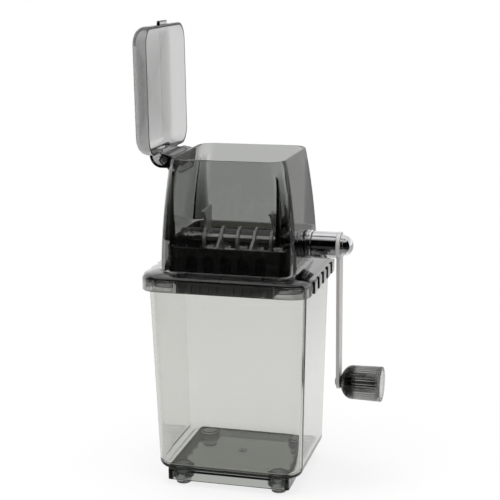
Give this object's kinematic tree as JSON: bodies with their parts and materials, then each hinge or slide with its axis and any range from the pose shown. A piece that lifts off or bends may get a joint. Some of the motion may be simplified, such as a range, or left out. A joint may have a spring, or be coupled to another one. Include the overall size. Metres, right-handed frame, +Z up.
{
  "type": "manual ice crusher",
  "caption": "Hand-cranked ice crusher: clear container on feet, lift-off head with hopper and hinged lid, and a crank that turns hooked claws between combs.",
  "frame": {"origin": "on the plane of the four feet, under the middle of the container", "axes": "+X to the crank side, -Y to the front, +Z up"},
  "size_m": [0.1709, 0.108, 0.3349],
  "materials": {
    "container_plastic": "clear, faintly smoked, polished plastic",
    "tray_plastic": "smoked see-through plastic",
    "foot_rubber": "soft grey rubber",
    "hopper_plastic": "dark smoked see-through plastic, polished",
    "frame_plastic": "black moulded plastic",
    "stainless": "brushed stainless steel",
    "chrome": "bright chrome plating",
    "knob_plastic": "dark smoked see-through plastic",
    "cap_plastic": "pale frosted plastic",
    "lid_plastic": "light smoked see-through plastic"
  },
  "bodies": {
    "container_body": {"container": "container_plastic", "base_tray": "tray_plastic", "foot_front_left": "foot_rubber", "foot_front_right": "foot_rubber", "foot_rear_left": "foot_rubber", "foot_rear_right": "foot_rubber"},
    "crusher_head": {"hopper": "hopper_plastic", "chamber_frame": "frame_plastic", "front_comb": "stainless", "rear_comb": "stainless", "left_bush": "chrome", "right_bush": "chrome", "frame_screws": "stainless", "comb_screws": "stainless", "hinge_pin": "stainless"},
    "rotor": {"drive_shaft": "stainless", "left_collar": "chrome", "right_collar": "chrome", "claw_1": "stainless", "claw_2": "stainless", "claw_3": "stainless", "claw_4": "stainless", "claw_5": "stainless", "spacer_1": "chrome", "spacer_2": "chrome", "spacer_3": "chrome", "spacer_4": "chrome", "crank_hub": "chrome", "crank_arm": "stainless", "cap_nut": "chrome", "knob_axle": "stainless"},
    "knob_body": {"knob": "knob_plastic", "knob_cap": "cap_plastic"},
    "lid_body": {"lid": "lid_plastic"}
  },
  "joints": [
    {"name": "head_lift", "type": "slide", "parent": "container_body", "child": "crusher_head", "axis": [0, 0, 1], "range_m": [0, 0.04]},
    {"name": "crank_turn", "type": "hinge", "parent": "crusher_head", "child": "rotor", "pos_m": [0, 0, 0.177], "axis": [1, 0, 0], "continuous": true},
    {"name": "knob_spin", "type": "hinge", "parent": "rotor", "child": "knob_body", "pos_m": [0.09, 0, 0.0753], "axis": [1, 0, 0], "continuous": true},
    {"name": "lid_hinge", "type": "hinge", "parent": "crusher_head", "child": "lid_body", "pos_m": [-0.0491, 0, 0.2383], "axis": [0, 1, 0], "range_deg": [0, 90.5]}
  ]
}
